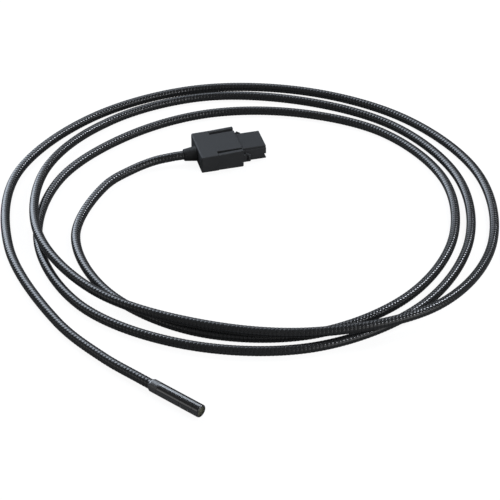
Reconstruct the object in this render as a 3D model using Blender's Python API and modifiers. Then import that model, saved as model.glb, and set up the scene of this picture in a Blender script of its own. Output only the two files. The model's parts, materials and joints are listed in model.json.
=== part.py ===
# Inspection camera probe: a plug with two squeeze latches, a gooseneck cable laid in three loose
# loops, and a slim camera head. Metres, +Z up. The origin is the centre of the plug's underside,
# on the surface that everything lies on, and +X runs along the plug to its nose.

import math

import bpy
import bmesh
import numpy
from mathutils import Vector

# Plug housing
HOUSING_LENGTH = 0.0310
HOUSING_WIDTH = 0.0336
HOUSING_REAR_HEIGHT = 0.0127
HOUSING_NOSE_HEIGHT = 0.0133
HOUSING_TOP_ROUND = 0.0012
HOUSING_EDGE = 0.0008
WALL = 0.0020
CAVITY_WIDTH = 0.0180
CAVITY_TOP = 0.0110
CLEARANCE = 0.0003

# Squeeze latches
LATCH_ROOT_X = -0.0030
LATCH_THICKNESS = 0.0028
LATCH_TIP_HEIGHT = 0.0138
SLOT_ROOT_Y = 0.0112
SLOT_TIP_Y = 0.0117
HOOK_LENGTH = 0.0056
HOOK_ROOT = 0.0015
HOOK_THICKNESS = 0.0016
HOOK_INSET = 0.0013
HOOK_BOTTOM = 0.0030
HOOK_NECK_TOP = 0.0089
HOOK_CREST = 0.0026
HOOK_CREST_TOP = 0.0100
HOOK_TIP_TOP = 0.0082
BARB_DEPTH = 0.0008
BARB_LENGTH = 0.0016
BARB_SETBACK = 0.0004
BARB_BOTTOM = 0.0034
BARB_TOP = 0.0080

# Connector nose
NOSE_TIP_X = 0.0337
NOSE_WIDTH = 0.0220
NOSE_BOTTOM = 0.0009
NOSE_TOP = 0.0112
NOSE_EDGE = 0.0004
LEDGE_WIDTH = 0.0009
LEDGE_TOP = 0.0097
GROOVE_DEPTH = 0.0010
GROOVE_BOTTOM = 0.0016
GROOVE_TOP = 0.0049
GROOVE_SETBACK = 0.0011
TENON_LENGTH = 0.0053
PASSAGE_WIDTH = 0.0144
PASSAGE_BOTTOM = 0.0032
PASSAGE_TOP = 0.0092
MOUTH_DEPTH = 0.0082
MOUTH_WIDTH = 0.0168
MOUTH_BOTTOM = 0.0022
MOUTH_TOP = 0.0097

# Inside the plug
AXIS_HEIGHT = 0.0062
COVER_THICKNESS = 0.0015
SCREW_PLACE = (-0.0106, 0.0065)
BOSS_RADIUS = 0.0016
SCREW_HEAD_RADIUS = 0.0014
SCREW_SHANK_RADIUS = 0.0006
SCREW_TIP_HEIGHT = 0.0070
CONTACT_COLUMNS = 4
CONTACT_PITCH = 0.0032
CONTACT_SIZE = (0.0084, 0.0014, 0.0008)
CONTACT_OFFSET = 0.0012
BOARD_THICKNESS = 0.0010
BOARD_WIDTH = 0.0130
BOARD_REAR_X = -0.0080
BOARD_NOSE_X = 0.0148
CHIP_REAR_X = -0.0020
CHIP_SIZE = (0.0060, 0.0060, 0.0010)
CRYSTAL_REAR_X = -0.0062
CRYSTAL_SIZE = (0.0022, 0.0032, 0.0009)
CLAMP_RADIUS = 0.0030
CLAMP_LENGTH = 0.0026

# Strain relief
RELIEF_LENGTH = 0.0092
RELIEF_SMALL_RADIUS = 0.0044
RELIEF_LARGE_RADIUS = 0.0055
RELIEF_NECK_RADIUS = 0.0035
RELIEF_FLANGE_RADIUS = 0.0042
WIRE_BORE = 0.0016

# Cable and the wires in it
CABLE_DIAMETER = 0.0065
CABLE_WALL = 0.0013
WIRE_RADIUS = 0.0010
POINTS_PER_LOOP = 24
ROUTE_SAMPLES = 24

# The cable's route: a short lead from the plug, then loops given as distances from the coil's
# centre at every 30 degrees, anticlockwise from above, then the run into the head.
LEAD = (
    (-0.046, 0.000, 0.0050),
    (-0.064, -0.005, 0.0036),
)
COIL_CENTRE = (0.006, -0.0725)
COIL_FIRST_BEARING = 150.0
COIL_BEARING_STEP = 30.0
COIL_RADII = (
    0.1065, 0.123, 0.1315, 0.137, 0.1405, 0.1405, 0.1405, 0.141, 0.1365, 0.128, 0.1265, 0.129,
    0.140, 0.1485, 0.153, 0.151, 0.153, 0.153, 0.1515, 0.1515, 0.149, 0.1455, 0.1505, 0.1535,
    0.151, 0.148, 0.142, 0.1375, 0.147, 0.1645, 0.167, 0.167, 0.1625, 0.1595, 0.1625, 0.1665,
    0.172, 0.1685, 0.174,
)
HUMP_START_BEARING = 845.0
HUMP_END_BEARING = 1015.0
HUMP_RAMP = 35.0
HUMP_LIFT = 0.0071
TAIL = ((-0.123, -0.2015, 0.0034),)

# Camera head, measured along its own axis from the rear of its collar
HEAD_REAR = (-0.1000, -0.2342)
HEAD_HEADING = math.radians(-53.0)
HEAD_RADIUS = 0.0041
HEAD_LENGTH = 0.0394
COLLAR_END = 0.0070
COLLAR_REAR_RADIUS = 0.0034
COLLAR_CHAMFER = 0.0014
SPIGOT_RADIUS = 0.0033
SPIGOT_END = 0.0112
SLEEVE_BORE = 0.0036
SEAM = 0.0248
RING_START = 0.0345
RING_ROUND = 0.0009
WINDOW_RADIUS = 0.0033
WINDOW_SIGHT_RADIUS = 0.0030
WINDOW_FRONT = 0.0387
WINDOW_THICKNESS = 0.0008
SEAL_THICKNESS = 0.0007
REAR_SEAL_Z = 0.0091
LED_COUNT = 6
LED_CIRCLE = 0.00235
LED_SIZE = 0.0009
LED_BOARD_Z = 0.0352
LENS_BARREL_RADIUS = 0.0013
LENS_BARREL_LENGTH = 0.0072
LENS_THICKNESS = 0.0012
LENS_CROWN = 0.0006
SENSOR_SIZE = 0.0032
SENSOR_Z = 0.0290
SENSOR_BOARD_WIDTH = 0.0050
SENSOR_BOARD_START = 0.0135
ACCESSORY_HOLE_RADIUS = 0.0004
ACCESSORY_HOLES = (0.0268, 0.0322)
ACCESSORY_HOLE_TURN = math.radians(-90.0)

ROUND_STEPS = 32
SMALL_ROUND_STEPS = 20
CORNER_STEPS = 6
SEAL_SIDES = 8
CORNER_ANGLE = math.radians(35.0)
TUBE_ANGLE = math.radians(70.0)
MERGE = 0.00001

PART_NAME = "inspection_camera_probe"
HALF_LENGTH = HOUSING_LENGTH / 2
HALF_WIDTH = HOUSING_WIDTH / 2
CABLE_RADIUS = CABLE_DIAMETER / 2
RELIEF_END_X = -HALF_LENGTH - CLEARANCE - RELIEF_LENGTH
LATCH_X = LATCH_ROOT_X + CLEARANCE
LATCH_PIVOT_Y = HALF_WIDTH - LATCH_THICKNESS / 2


def clear_scene():
    for thing in list(bpy.data.objects):
        bpy.data.objects.remove(thing, do_unlink=True)


def new_collection(name):
    collection = bpy.data.collections.new(name)
    bpy.context.scene.collection.children.link(collection)
    return collection


def new_material(name, color, roughness, metallic=0.0):
    material = bpy.data.materials.new(name)
    material.use_nodes = True
    shader = material.node_tree.nodes["Principled BSDF"]
    shader.inputs["Base Color"].default_value = (*color, 1.0)
    shader.inputs["Roughness"].default_value = roughness
    shader.inputs["Metallic"].default_value = metallic
    material.diffuse_color = (*color, 1.0)
    return material


def place(thing, collection, parent=None):
    for owner in list(thing.users_collection):
        owner.objects.unlink(thing)
    collection.objects.link(thing)
    if parent is not None:
        thing.parent = parent
    return thing


def finish(thing, material, parent=None):
    thing.data.materials.clear()
    thing.data.materials.append(material)
    return place(thing, parts, parent)


def as_cutter(thing, parent=None):
    thing.hide_render = True
    thing.display_type = "WIRE"
    return place(thing, cutters, parent)


def smooth(thing, angle):
    thing.data.shade_smooth()
    thing.data.set_sharp_from_angle(angle=angle)


# A turned piece made a plain mesh once all its cuts are on it, so that its corners stay crisp
def settle(thing):
    view = bpy.context.evaluated_depsgraph_get()
    mesh = bpy.data.meshes.new_from_object(thing.evaluated_get(view))
    thing.modifiers.clear()
    thing.data = mesh
    smooth(thing, CORNER_ANGLE)


def new_axis(name, location, rotation=(0.0, 0.0, 0.0)):
    axis = bpy.data.objects.new(name, None)
    axis.location = location
    axis.rotation_euler = rotation
    parts.objects.link(axis)
    return axis


# A box between two corners, with its scale applied and its edges rounded
def box(name, low, high, edge=0.0, segments=2):
    low = Vector(low)
    size = Vector(high) - low
    bpy.ops.mesh.primitive_cube_add(size=1.0, location=(0.0, 0.0, 0.0))
    thing = bpy.context.object
    thing.name = name
    thing.data.name = name
    for vertex in thing.data.vertices:
        vertex.co = Vector(a * b for a, b in zip(vertex.co, size))
    thing.location = low + size / 2
    if edge > 0.0:
        bevel(thing, edge, segments)
    return thing


def bevel(thing, width, segments=2):
    modifier = thing.modifiers.new("edges", "BEVEL")
    modifier.width = width
    modifier.segments = segments
    modifier.limit_method = "ANGLE"


# A solid of revolution about its own Z, from (radius, height) points that run down the outer side.
# A closed profile makes a ring, and one that starts and ends at radius 0 makes a full solid.
def turned(name, profile, closed, steps=ROUND_STEPS):
    mesh = bpy.data.meshes.new(name)
    points = [(radius, 0.0, height) for radius, height in profile]
    edges = [(i, i + 1) for i in range(len(points) - 1)]
    if closed:
        edges.append((len(points) - 1, 0))
    mesh.from_pydata(points, edges, [])
    thing = bpy.data.objects.new(name, mesh)
    screw = thing.modifiers.new("turn", "SCREW")
    screw.steps = steps
    screw.render_steps = steps
    screw.use_merge_vertices = True
    screw.merge_threshold = MERGE
    screw.use_smooth_shade = True
    return thing


def ring(name, outer, inner, low, high, steps=ROUND_STEPS):
    return turned(name, ((outer, high), (outer, low), (inner, low), (inner, high)), True, steps)


def disc(name, radius, low, high, steps=ROUND_STEPS):
    return turned(name, ((0.0, high), (radius, high), (radius, low), (0.0, low)), False, steps)


# A flat outline extruded both ways by half its thickness, made a mesh with welded caps
def extruded(name, outline, thickness):
    curve = bpy.data.curves.new(name, "CURVE")
    curve.dimensions = "2D"
    curve.fill_mode = "BOTH"
    curve.extrude = thickness / 2
    spline = curve.splines.new("POLY")
    spline.points.add(len(outline) - 1)
    for point, (x, y) in zip(spline.points, outline):
        point.co = (x, y, 0.0, 1.0)
    spline.use_cyclic_u = True
    spline.use_smooth = False
    return curve_to_mesh(name, curve)


def curve_to_mesh(name, curve):
    drawn = bpy.data.objects.new(name, curve)
    bpy.context.scene.collection.objects.link(drawn)
    view = bpy.context.evaluated_depsgraph_get()
    mesh = bpy.data.meshes.new_from_object(drawn.evaluated_get(view))
    shape = bmesh.new()
    shape.from_mesh(mesh)
    bmesh.ops.remove_doubles(shape, verts=shape.verts, dist=MERGE)
    bmesh.ops.recalc_face_normals(shape, faces=shape.faces)
    shape.to_mesh(mesh)
    shape.free()
    thing = bpy.data.objects.new(name, mesh)
    thing.matrix_world = drawn.matrix_world
    bpy.data.objects.remove(drawn, do_unlink=True)
    thing.name = name
    return thing


def combine(target, other, operation, parent=None):
    as_cutter(other, parent)
    modifier = target.modifiers.new(other.name, "BOOLEAN")
    modifier.operation = operation
    modifier.object = other


def cut(target, cutter, parent=None):
    combine(target, cutter, "DIFFERENCE", parent)


def join(target, other, parent=None):
    combine(target, other, "UNION", parent)


def top_height(x):
    share = (x + HALF_LENGTH) / HOUSING_LENGTH
    return HOUSING_REAR_HEIGHT + (HOUSING_NOSE_HEIGHT - HOUSING_REAR_HEIGHT) * share


# Plug housing: one shell open below and at the nose, with both sides cut away for the latches
def make_housing():
    outline = [(-HALF_LENGTH, 0.0), (HALF_LENGTH, 0.0), (HALF_LENGTH, HOUSING_NOSE_HEIGHT)]
    round_x = -HALF_LENGTH + HOUSING_TOP_ROUND
    round_z = top_height(round_x) - HOUSING_TOP_ROUND
    for step in range(CORNER_STEPS + 1):
        angle = math.pi / 2 * (1.0 + step / CORNER_STEPS)
        outline.append((round_x + HOUSING_TOP_ROUND * math.cos(angle),
                        round_z + HOUSING_TOP_ROUND * math.sin(angle)))
    housing = extruded("plug_housing", outline, HOUSING_WIDTH)
    housing.rotation_euler = (math.pi / 2, 0.0, 0.0)
    bevel(housing, HOUSING_EDGE)
    finish(housing, dark_abs)

    far = HOUSING_LENGTH
    half_cavity = CAVITY_WIDTH / 2
    cut(housing, box("cavity_cutter", (-HALF_LENGTH + WALL, -half_cavity, -WALL),
                     (far, half_cavity, CAVITY_TOP)))
    for side, label in ((1, "left"), (-1, "right")):
        cut(housing, make_latch_pocket(side, label))
    hole = disc("relief_hole_cutter", RELIEF_NECK_RADIUS + CLEARANCE, -WALL, WALL)
    hole.location = (-HALF_LENGTH + WALL / 2, 0.0, AXIS_HEIGHT)
    hole.rotation_euler = (0.0, math.pi / 2, 0.0)
    cut(housing, hole)
    for number, side in ((1, 1), (2, -1)):
        x, y = SCREW_PLACE[0], SCREW_PLACE[1] * side
        boss = ring("screw_boss_%d" % number, BOSS_RADIUS, SCREW_SHANK_RADIUS + CLEARANCE,
                    COVER_THICKNESS + CLEARANCE, CAVITY_TOP + CLEARANCE, SMALL_ROUND_STEPS)
        boss.location = (x, y, 0.0)
        join(housing, boss)


def make_latch_pocket(side, label):
    beyond = HOUSING_WIDTH
    outline = ((LATCH_ROOT_X, SLOT_ROOT_Y * side), (HALF_LENGTH, SLOT_TIP_Y * side),
               (HOUSING_LENGTH, SLOT_TIP_Y * side), (HOUSING_LENGTH, beyond * side),
               (LATCH_ROOT_X, beyond * side))
    return extruded("latch_pocket_%s_cutter" % label, outline, 4 * HOUSING_NOSE_HEIGHT)


# Latch arm: a side wall of the plug on a hinge at its root, with a hook reaching past the nose's shoulder
def make_latch(side, label):
    pivot = new_axis("latch_pivot_%s" % label, (LATCH_X, LATCH_PIVOT_Y * side, 0.0))
    length = HALF_LENGTH - LATCH_X
    arm = extruded("latch_arm_%s" % label,
                   ((0.0, CLEARANCE), (length, CLEARANCE), (length, LATCH_TIP_HEIGHT),
                    (0.0, top_height(LATCH_X))), LATCH_THICKNESS)
    arm.rotation_euler = (math.pi / 2, 0.0, 0.0)
    bevel(arm, HOUSING_EDGE / 2)
    finish(arm, dark_abs, pivot)

    outer = LATCH_THICKNESS / 2 - HOOK_INSET
    tip = length + HOOK_LENGTH
    crest = length + HOOK_CREST
    rise = crest - (HOOK_CREST_TOP - HOOK_NECK_TOP) / 2
    outline = ((length - HOOK_ROOT, HOOK_BOTTOM), (tip, HOOK_BOTTOM), (tip, HOOK_TIP_TOP),
               (crest, HOOK_CREST_TOP), (rise, HOOK_NECK_TOP), (length - HOOK_ROOT, HOOK_NECK_TOP))
    hook = extruded("latch_hook_%s" % label, outline, HOOK_THICKNESS)
    middle = outer - HOOK_THICKNESS / 2
    hook.location = (0.0, middle * side, 0.0)
    hook.rotation_euler = (math.pi / 2, 0.0, 0.0)
    join(arm, hook, pivot)
    toe = tip - BARB_SETBACK
    heel = toe - BARB_LENGTH
    outline = ((heel, middle), (toe, middle), (toe, outer),
               (heel + BARB_LENGTH / 2, outer + BARB_DEPTH), (heel, outer + BARB_DEPTH))
    barb = extruded("latch_barb_%s" % label, [(x, y * side) for x, y in outline], BARB_TOP - BARB_BOTTOM)
    barb.location = (0.0, 0.0, (BARB_TOP + BARB_BOTTOM) / 2)
    join(arm, barb, pivot)


# Bottom cover with its two countersunk screws
def make_cover():
    half = CAVITY_WIDTH / 2 - CLEARANCE
    cover = box("bottom_cover", (-HALF_LENGTH + WALL + CLEARANCE, -half, 0.0),
                (HALF_LENGTH, half, COVER_THICKNESS))
    finish(cover, dark_abs)
    for number, side in ((1, 1), (2, -1)):
        spot = (SCREW_PLACE[0], SCREW_PLACE[1] * side, 0.0)
        hole = disc("screw_hole_%d_cutter" % number, SCREW_HEAD_RADIUS + CLEARANCE,
                    -COVER_THICKNESS, 2 * COVER_THICKNESS, SMALL_ROUND_STEPS)
        hole.location = spot
        cut(cover, hole)
        screw = turned("cover_screw_%d" % number,
                       ((0.0, SCREW_TIP_HEIGHT), (SCREW_SHANK_RADIUS, SCREW_TIP_HEIGHT - SCREW_SHANK_RADIUS),
                        (SCREW_SHANK_RADIUS, COVER_THICKNESS - CLEARANCE),
                        (SCREW_HEAD_RADIUS, COVER_THICKNESS - CLEARANCE),
                        (SCREW_HEAD_RADIUS, CLEARANCE), (0.0, CLEARANCE)), False, SMALL_ROUND_STEPS)
        screw.location = spot
        finish(screw, zinc_steel)


# Connector nose: a rectangular shroud with a tenon in the housing and an open contact mouth. A ledge runs
# along its top edges, and a guide groove along each side, low down, and round the front below the mouth.
def make_nose():
    half = NOSE_WIDTH / 2
    shoulder = HALF_LENGTH + CLEARANCE
    nose = box("connector_nose", (shoulder, -half, NOSE_BOTTOM), (NOSE_TIP_X, half, NOSE_TOP), NOSE_EDGE)
    finish(nose, slate_abs)
    tenon_half = CAVITY_WIDTH / 2 - CLEARANCE
    join(nose, box("nose_tenon", (shoulder - TENON_LENGTH, -tenon_half, COVER_THICKNESS + CLEARANCE),
                   (shoulder + CLEARANCE, tenon_half, CAVITY_TOP - CLEARANCE)))
    half_passage = PASSAGE_WIDTH / 2
    cut(nose, box("nose_passage_cutter", (0.0, -half_passage, PASSAGE_BOTTOM),
                  (2 * NOSE_TIP_X, half_passage, PASSAGE_TOP)))
    half_mouth = MOUTH_WIDTH / 2
    cut(nose, box("nose_mouth_cutter", (NOSE_TIP_X - MOUTH_DEPTH, -half_mouth, MOUTH_BOTTOM),
                  (2 * NOSE_TIP_X, half_mouth, MOUTH_TOP)))
    for side, label in ((1, "left"), (-1, "right")):
        outer = NOSE_WIDTH * side
        inner = (half - GROOVE_DEPTH) * side
        cut(nose, box("nose_groove_%s_cutter" % label,
                      (shoulder + TENON_LENGTH, min(inner, outer), GROOVE_BOTTOM),
                      (2 * NOSE_TIP_X, max(inner, outer), GROOVE_TOP)))
        inner = (half - LEDGE_WIDTH) * side
        cut(nose, box("nose_ledge_%s_cutter" % label, (0.0, min(inner, outer), LEDGE_TOP),
                      (2 * NOSE_TIP_X, max(inner, outer), 2 * NOSE_TOP)))
    cut(nose, box("nose_front_groove_cutter", (NOSE_TIP_X - GROOVE_SETBACK, -NOSE_WIDTH, GROOVE_BOTTOM),
                  (2 * NOSE_TIP_X, NOSE_WIDTH, GROOVE_TOP)))


# Contact block at the back of the mouth, with a channel for each contact
def make_contacts():
    front = NOSE_TIP_X - MOUTH_DEPTH - CLEARANCE
    half = PASSAGE_WIDTH / 2 - CLEARANCE
    length, width, height = CONTACT_SIZE
    block = box("contact_block", (front - length / 2, -half, PASSAGE_BOTTOM + CLEARANCE),
                (front, half, PASSAGE_TOP - CLEARANCE))
    finish(block, ivory_nylon)
    number = 0
    for row in (1, -1):
        for column in range(CONTACT_COLUMNS):
            number += 1
            y = (column - (CONTACT_COLUMNS - 1) / 2) * CONTACT_PITCH
            z = AXIS_HEIGHT + row * CONTACT_OFFSET
            low = Vector((front - CLEARANCE - length, y - width / 2, z - height / 2))
            high = low + Vector(CONTACT_SIZE)
            play = Vector((length, CLEARANCE, CLEARANCE))
            cut(block, box("contact_channel_%d_cutter" % number, low - play, high + play))
            finish(box("contact_%d" % number, low, high), gold_plate)


# Circuit board and what stands on it
def make_board():
    half = BOARD_WIDTH / 2
    low_z = AXIS_HEIGHT - BOARD_THICKNESS / 2
    top = low_z + BOARD_THICKNESS
    finish(box("plug_board", (BOARD_REAR_X, -half, low_z), (BOARD_NOSE_X, half, top)), green_laminate)
    for name, rear, size, material in (("bridge_chip", CHIP_REAR_X, CHIP_SIZE, chip_epoxy),
                                       ("crystal_can", CRYSTAL_REAR_X, CRYSTAL_SIZE, zinc_steel)):
        low = Vector((rear, -size[1] / 2, top + CLEARANCE))
        finish(box(name, low, low + Vector(size)), material)


# Strain relief: a tapered boot with a neck through the rear wall and a flange inside it
def make_relief():
    boot_end = RELIEF_LENGTH
    lip = HOUSING_EDGE
    neck_end = -CLEARANCE * 2 - WALL
    flange_end = neck_end - 2 * HOUSING_EDGE
    profile = ((WIRE_BORE, boot_end), (RELIEF_SMALL_RADIUS - lip, boot_end),
               (RELIEF_SMALL_RADIUS, boot_end - lip), (RELIEF_LARGE_RADIUS, 0.0),
               (RELIEF_NECK_RADIUS, 0.0), (RELIEF_NECK_RADIUS, neck_end),
               (RELIEF_FLANGE_RADIUS, neck_end), (RELIEF_FLANGE_RADIUS, flange_end), (WIRE_BORE, flange_end))
    relief = turned("strain_relief", profile, True)
    relief.location = (-HALF_LENGTH - CLEARANCE, 0.0, AXIS_HEIGHT)
    relief.rotation_euler = (0.0, -math.pi / 2, 0.0)
    finish(relief, black_rubber)

    clamp = ring("wire_clamp", CLAMP_RADIUS, WIRE_BORE, 0.0, CLAMP_LENGTH, SMALL_ROUND_STEPS)
    clamp.location = (SCREW_PLACE[0], 0.0, AXIS_HEIGHT)
    clamp.rotation_euler = (0.0, math.pi / 2, 0.0)
    finish(clamp, zinc_steel)


def ease(share):
    share = min(max(share, 0.0), 1.0)
    return share * share * (3.0 - 2.0 * share)


def hump(bearing):
    rise = ease((bearing - HUMP_START_BEARING) / HUMP_RAMP)
    fall = ease((bearing - HUMP_END_BEARING) / HUMP_RAMP)
    return HUMP_LIFT * (rise - fall)


def head_direction():
    return Vector((math.cos(HEAD_HEADING), math.sin(HEAD_HEADING), 0.0))


# The points that the cable's centre passes through, from the strain relief to the head's collar
def route_points():
    start = Vector((RELIEF_END_X - CLEARANCE, 0.0, AXIS_HEIGHT))
    points = [start, start - Vector((CABLE_DIAMETER, 0.0, 0.0))]
    points += [Vector(point) for point in LEAD]
    for index, radius in enumerate(COIL_RADII):
        bearing = COIL_FIRST_BEARING + COIL_BEARING_STEP * index
        turn = math.radians(bearing)
        points.append(Vector((COIL_CENTRE[0] + radius * math.cos(turn),
                              COIL_CENTRE[1] + radius * math.sin(turn),
                              CABLE_RADIUS + hump(bearing))))
    points += [Vector(point) for point in TAIL]
    end = Vector((*HEAD_REAR, HEAD_RADIUS)) - head_direction() * CLEARANCE
    points += [end - head_direction() * CABLE_DIAMETER, end]
    return points


# A smooth curve through the points, finely sampled, that never sinks into the surface it lies on
def smooth_route(points):
    ends = [points[0] * 2 - points[1]] + points + [points[-1] * 2 - points[-2]]
    line = []
    for a, b, c, d in zip(ends, ends[1:], ends[2:], ends[3:]):
        ab = math.sqrt((b - a).length)
        bc = math.sqrt((c - b).length)
        cd = math.sqrt((d - c).length)
        leave = (c - b) + bc * ((b - a) / ab - (c - a) / (ab + bc))
        arrive = (c - b) + bc * ((d - c) / cd - (d - b) / (bc + cd))
        for step in range(ROUTE_SAMPLES):
            t = step / ROUTE_SAMPLES
            line.append((2 * (b - c) + leave + arrive) * t ** 3
                        + (3 * (c - b) - 2 * leave - arrive) * t ** 2 + leave * t + b)
    line.append(points[-1])
    for point in line:
        point.z = max(point.z, CABLE_RADIUS)
    return line


# Evenly spaced points on a finely sampled line
def spaced(line, count):
    lengths = [0.0]
    for a, b in zip(line, line[1:]):
        lengths.append(lengths[-1] + (b - a).length)
    wanted = numpy.linspace(0.0, lengths[-1], count)
    columns = [numpy.interp(wanted, lengths, [point[axis] for point in line]) for axis in range(3)]
    return [Vector(point) for point in zip(*columns)]


# The tube keeps its straight ends, and has evenly spaced points between them
def tube_points():
    points = route_points()
    line = smooth_route(points[1:-1])
    turns = COIL_BEARING_STEP * len(COIL_RADII) / 360.0
    return [points[0]] + spaced(line, round(turns * POINTS_PER_LOOP)) + [points[-1]]


# The least gap between two stretches of the cable that aren't neighbours along it
def least_gap(points):
    length = sum((b - a).length for a, b in zip(points, points[1:]))
    step = CABLE_DIAMETER / 4
    fine = numpy.array(spaced(points, int(length / step)))
    apart = int(math.pi * CABLE_DIAMETER / step)
    gap = length
    for index in range(len(fine) - apart):
        distances = numpy.linalg.norm(fine[index + apart:] - fine[index], axis=1)
        gap = min(gap, float(distances.min()) - CABLE_DIAMETER)
    return gap, length


def tube_curve(name, points, radius, caps):
    curve = bpy.data.curves.new(name, "CURVE")
    curve.dimensions = "3D"
    curve.bevel_depth = radius
    curve.bevel_resolution = 1
    curve.use_fill_caps = caps
    spline = curve.splines.new("POLY")
    spline.points.add(len(points) - 1)
    for point, place_at in zip(spline.points, points):
        point.co = (*place_at, 1.0)
    return curve


# Gooseneck cable, a hollow tube, and the wire bundle that runs through it into the plug and the head
def make_cable():
    points = tube_points()
    gap, length = least_gap(points)
    print("cable length %.3f m, least gap to itself %.2f mm" % (length, gap * 1000.0))
    gooseneck = curve_to_mesh("gooseneck_cable", tube_curve("gooseneck_cable", points, CABLE_RADIUS, False))
    wall = gooseneck.modifiers.new("wall", "SOLIDIFY")
    wall.thickness = CABLE_WALL
    wall.offset = -1.0
    wall.use_even_offset = True
    smooth(gooseneck, TUBE_ANGLE)
    finish(gooseneck, cable_black)

    plug_end = Vector((BOARD_REAR_X - CLEARANCE, 0.0, AXIS_HEIGHT))
    head_end = Vector((*HEAD_REAR, HEAD_RADIUS)) + head_direction() * (SENSOR_BOARD_START - CLEARANCE)
    wires = curve_to_mesh("wire_bundle",
                          tube_curve("wire_bundle", [plug_end] + points + [head_end], WIRE_RADIUS, True))
    smooth(wires, TUBE_ANGLE)
    finish(wires, wire_jacket)


# Camera head: pieces stacked along its axis, from the collar at the cable to the window
def make_head():
    axis = new_axis("head_axis", (*HEAD_REAR, HEAD_RADIUS), (0.0, math.pi / 2, HEAD_HEADING))
    groove = SEAL_THICKNESS + CLEARANCE
    groove_low = REAR_SEAL_Z - groove / 2 - CLEARANCE / 2
    groove_high = REAR_SEAL_Z + groove / 2 + CLEARANCE / 2
    groove_radius = SPIGOT_RADIUS - groove
    collar = turned("rear_collar",
                    ((WIRE_BORE, SPIGOT_END), (SPIGOT_RADIUS, SPIGOT_END), (SPIGOT_RADIUS, groove_high),
                     (groove_radius, groove_high), (groove_radius, groove_low), (SPIGOT_RADIUS, groove_low),
                     (SPIGOT_RADIUS, COLLAR_END), (HEAD_RADIUS, COLLAR_END), (HEAD_RADIUS, COLLAR_CHAMFER),
                     (COLLAR_REAR_RADIUS, 0.0), (WIRE_BORE, 0.0)), True)
    finish(collar, satin_black, axis)
    add_seal("rear_seal", REAR_SEAL_Z, axis)

    finish(ring("head_sleeve", HEAD_RADIUS, SLEEVE_BORE, COLLAR_END + CLEARANCE, SEAM), gloss_black, axis)
    barrel = ring("front_barrel", HEAD_RADIUS, SLEEVE_BORE, SEAM + CLEARANCE, RING_START - CLEARANCE)
    finish(barrel, gloss_black, axis)
    for number, height in enumerate(ACCESSORY_HOLES, 1):
        bore = disc("accessory_hole_%d_cutter" % number, ACCESSORY_HOLE_RADIUS,
                    SLEEVE_BORE / 2, 2 * HEAD_RADIUS, SMALL_ROUND_STEPS)
        bore.location = (0.0, 0.0, height)
        bore.rotation_euler = (0.0, math.pi / 2, ACCESSORY_HOLE_TURN)
        cut(barrel, bore, axis)

    make_nose_ring(axis)
    make_optics(axis)


def make_nose_ring(axis):
    seat = WINDOW_FRONT + CLEARANCE
    profile = [(WINDOW_SIGHT_RADIUS, HEAD_LENGTH)]
    for step in range(CORNER_STEPS + 1):
        angle = math.pi / 2 * (1.0 - step / CORNER_STEPS)
        profile.append((HEAD_RADIUS - RING_ROUND + RING_ROUND * math.cos(angle),
                        HEAD_LENGTH - RING_ROUND + RING_ROUND * math.sin(angle)))
    profile += [(HEAD_RADIUS, RING_START), (SLEEVE_BORE, RING_START), (SLEEVE_BORE, seat)]
    profile.append((WINDOW_SIGHT_RADIUS, seat))
    finish(turned("nose_ring", profile, True), gloss_black, axis)
    window_rear = WINDOW_FRONT - WINDOW_THICKNESS
    finish(disc("window_glass", WINDOW_RADIUS, window_rear, WINDOW_FRONT), window_mineral, axis)
    add_seal("front_seal", window_rear - CLEARANCE - SEAL_THICKNESS / 2, axis)


def add_seal(name, height, axis):
    bpy.ops.mesh.primitive_torus_add(major_radius=WINDOW_RADIUS - SEAL_THICKNESS / 2,
                                     minor_radius=SEAL_THICKNESS / 2,
                                     major_segments=ROUND_STEPS, minor_segments=SEAL_SIDES)
    seal = bpy.context.object
    seal.name = name
    seal.location = (0.0, 0.0, height)
    smooth(seal, TUBE_ANGLE)
    finish(seal, black_rubber, axis)


def make_optics(axis):
    lens_bore = LENS_BARREL_RADIUS - CLEARANCE
    barrel_low = SENSOR_Z + 3 * CLEARANCE
    barrel_high = barrel_low + LENS_BARREL_LENGTH
    finish(ring("lens_barrel", LENS_BARREL_RADIUS, lens_bore, barrel_low, barrel_high, SMALL_ROUND_STEPS),
           satin_black, axis)
    lens_radius = lens_bore - CLEARANCE
    lens_rear = barrel_high - CLEARANCE - LENS_THICKNESS
    profile = []
    for step in range(CORNER_STEPS + 1):
        share = step / CORNER_STEPS
        profile.append((lens_radius * share, barrel_high - CLEARANCE - LENS_CROWN * share ** 2))
    profile += [(lens_radius, lens_rear), (0.0, lens_rear)]
    finish(turned("lens", profile, False, SMALL_ROUND_STEPS), window_mineral, axis)

    board_high = LED_BOARD_Z + 2 * CLEARANCE
    finish(ring("led_board", WINDOW_RADIUS, LENS_BARREL_RADIUS + CLEARANCE, LED_BOARD_Z, board_high),
           green_laminate, axis)
    for number in range(LED_COUNT):
        angle = 2.0 * math.pi * number / LED_COUNT
        half = LED_SIZE / 2
        led = box("led_%d" % (number + 1), (-half, -half, 0.0), (half, half, half))
        led.location += Vector((LED_CIRCLE * math.cos(angle), LED_CIRCLE * math.sin(angle),
                                board_high + CLEARANCE))
        led.rotation_euler = (0.0, 0.0, angle)
        finish(led, led_phosphor, axis)

    half = SENSOR_SIZE / 2
    sensor_low = SENSOR_Z - BOARD_THICKNESS
    finish(box("image_sensor", (-half, -half, sensor_low), (half, half, SENSOR_Z)), chip_epoxy, axis)
    half = SENSOR_BOARD_WIDTH / 2
    finish(box("sensor_board", (-BOARD_THICKNESS / 2, -half, SENSOR_BOARD_START),
               (BOARD_THICKNESS / 2, half, sensor_low - CLEARANCE)), green_laminate, axis)


clear_scene()
parts = new_collection(PART_NAME)
cutters = new_collection("cutters")

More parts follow.
